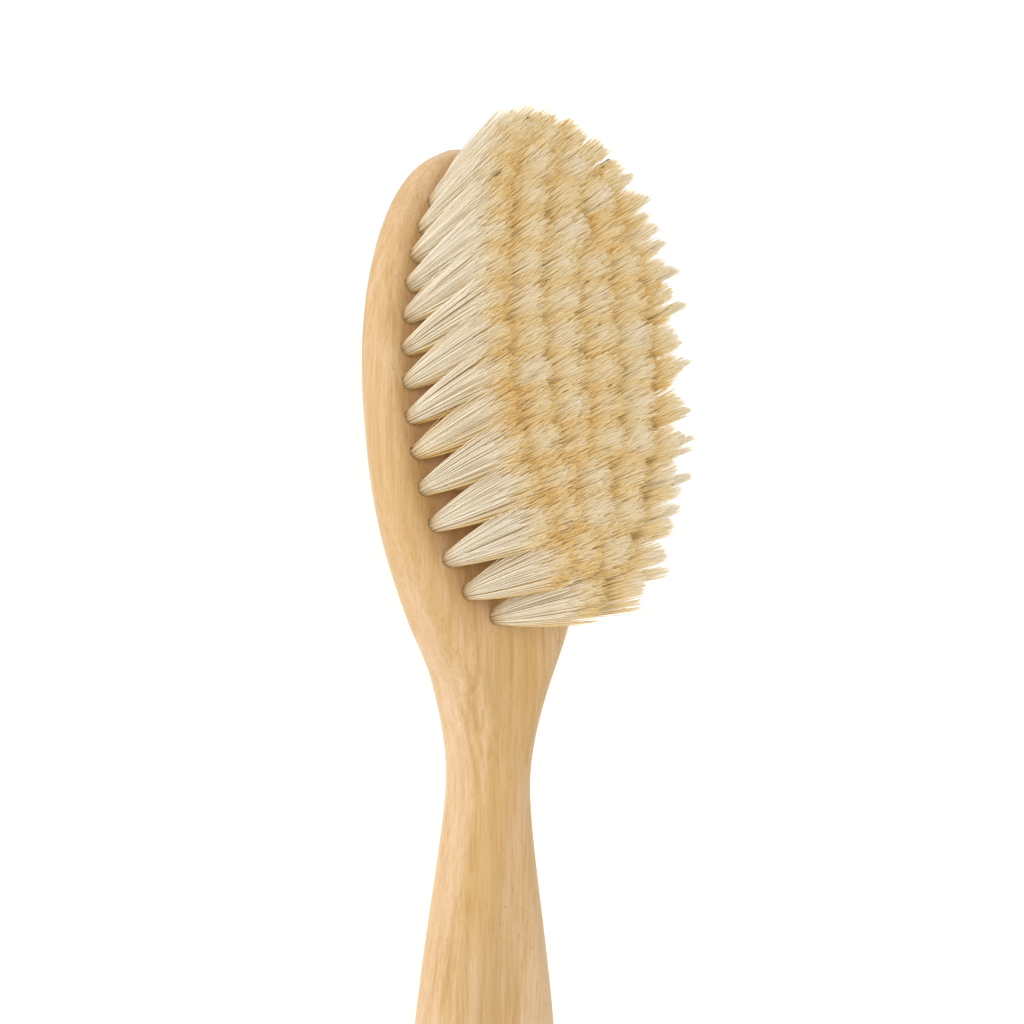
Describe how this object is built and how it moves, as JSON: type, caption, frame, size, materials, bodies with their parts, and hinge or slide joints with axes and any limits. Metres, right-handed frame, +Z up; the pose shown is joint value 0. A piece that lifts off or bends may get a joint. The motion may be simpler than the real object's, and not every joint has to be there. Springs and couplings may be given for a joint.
{
  "type": "body dry brush",
  "caption": "Long handled wooden body brush with an oval head, set with dense tufts of pale natural bristle in drilled holes.",
  "frame": {"origin": "centre of the bounding box in plan, at the surface the brush lies on, with the brush on its back and the bristles up", "axes": "+Y along the brush from the handle end towards the tip of the head, +X across it, +Z up, the way the bristles point"},
  "size_m": [0.0572, 0.3759, 0.0665],
  "materials": {
    "beech": "fine sanded pale beech, lightly oiled, satin",
    "bristle": "cream natural boar bristle, trimmed flat",
    "staple_wire": "bright drawn flat wire"
  },
  "bodies": {
    "root": {"brush_body": "beech", "tufts_outer_left": "bristle", "tufts_outer_right": "bristle", "tuft_row_01": "bristle", "tuft_row_02": "bristle", "tuft_row_03": "bristle", "tuft_row_04": "bristle", "tuft_row_05": "bristle", "tuft_row_06": "bristle", "tuft_row_07": "bristle", "tuft_row_08": "bristle", "tuft_row_09": "bristle", "tuft_row_10": "bristle", "tuft_row_11": "bristle", "tuft_row_12": "bristle", "tuft_row_13": "bristle", "staples_outer_left": "staple_wire", "staples_outer_right": "staple_wire", "staple_row_01": "staple_wire", "staple_row_02": "staple_wire", "staple_row_03": "staple_wire", "staple_row_04": "staple_wire", "staple_row_05": "staple_wire", "staple_row_06": "staple_wire", "staple_row_07": "staple_wire", "staple_row_08": "staple_wire", "staple_row_09": "staple_wire", "staple_row_10": "staple_wire", "staple_row_11": "staple_wire", "staple_row_12": "staple_wire", "staple_row_13": "staple_wire"}
  },
  "joints": []
}
